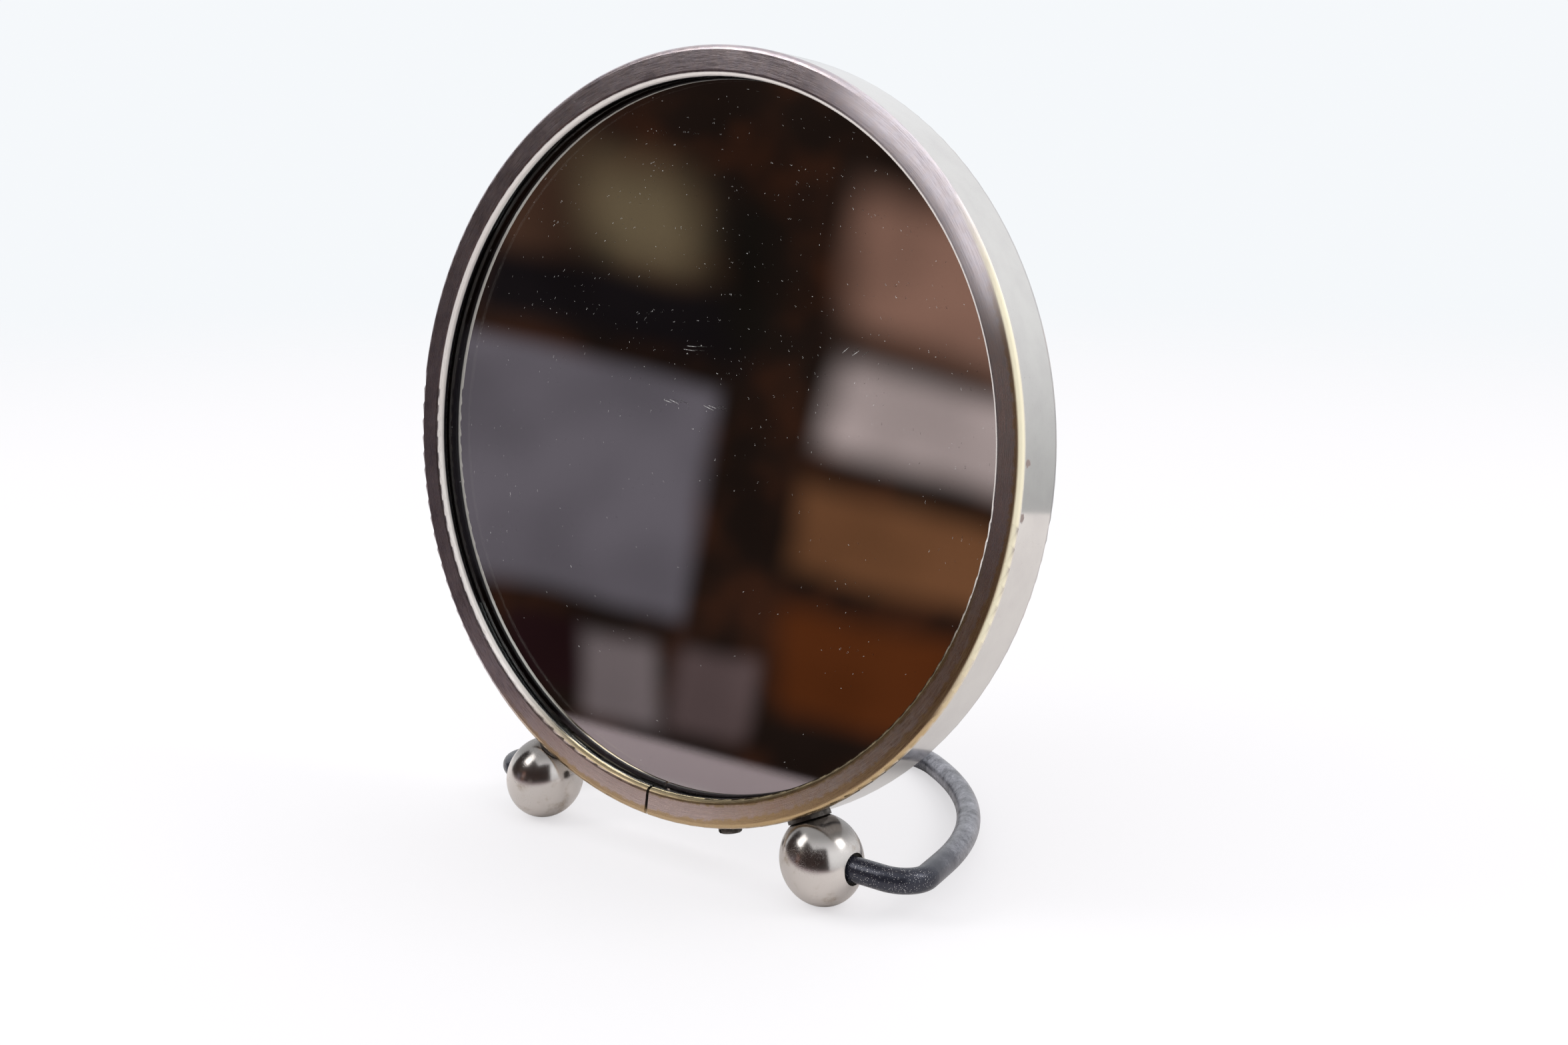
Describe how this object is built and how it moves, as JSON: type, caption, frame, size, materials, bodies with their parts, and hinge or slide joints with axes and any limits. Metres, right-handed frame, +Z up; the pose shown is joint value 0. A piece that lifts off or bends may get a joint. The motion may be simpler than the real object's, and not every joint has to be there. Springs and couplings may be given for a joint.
{
  "type": "countertop mirror",
  "caption": "Round countertop mirror in a split metal hoop, leaning back on two ball feet and a folding wire loop stand.",
  "frame": {"origin": "on the table, in the middle of the mirror's footprint", "axes": "+Z up, +Y to the back of the mirror, +X to the right seen from the front"},
  "size_m": [0.17, 0.0956, 0.1793],
  "materials": {
    "hoop_nickel": "worn nickel plate over brass, satin",
    "strap_steel": "plain steel strip",
    "dark_screw": "blackened steel, slotted",
    "clear_glass": "polished float glass",
    "silvering": "silver layer on the back of the glass",
    "cork_packing": "cork strip",
    "grey_card": "grey board",
    "felt_pad": "soft felt",
    "back_lacquer": "black lacquered hardboard",
    "ball_nickel": "polished nickel plate over brass",
    "saddle_dark": "darkened steel washer",
    "inner_steel": "zinc plated steel",
    "bush_fibre": "dark fibre",
    "wire_steel": "blackened steel rod, worn"
  },
  "bodies": {
    "mirror_frame": {"frame_band": "hoop_nickel", "joint_strap": "strap_steel", "joint_screw_left": "dark_screw", "joint_screw_right": "dark_screw", "mirror_glass": "clear_glass", "mirror_silvering": "silvering", "edge_packing": "cork_packing", "backing_card": "grey_card", "packing_pad": "felt_pad", "back_panel": "back_lacquer", "foot_ball_left": "ball_nickel", "foot_ball_right": "ball_nickel", "foot_saddle_left": "saddle_dark", "foot_saddle_right": "saddle_dark", "foot_screw_left": "inner_steel", "foot_screw_right": "inner_steel", "foot_washer_left": "inner_steel", "foot_washer_right": "inner_steel", "pivot_bush_left": "bush_fibre", "pivot_bush_right": "bush_fibre"},
    "stand": {"wire_stand": "wire_steel"}
  },
  "joints": [
    {"name": "stand_fold", "type": "hinge", "parent": "mirror_frame", "child": "stand", "pos_m": [0, -0.03875, 0.00982], "axis": [1, 0, 0], "range_deg": [-246, 55]}
  ]
}
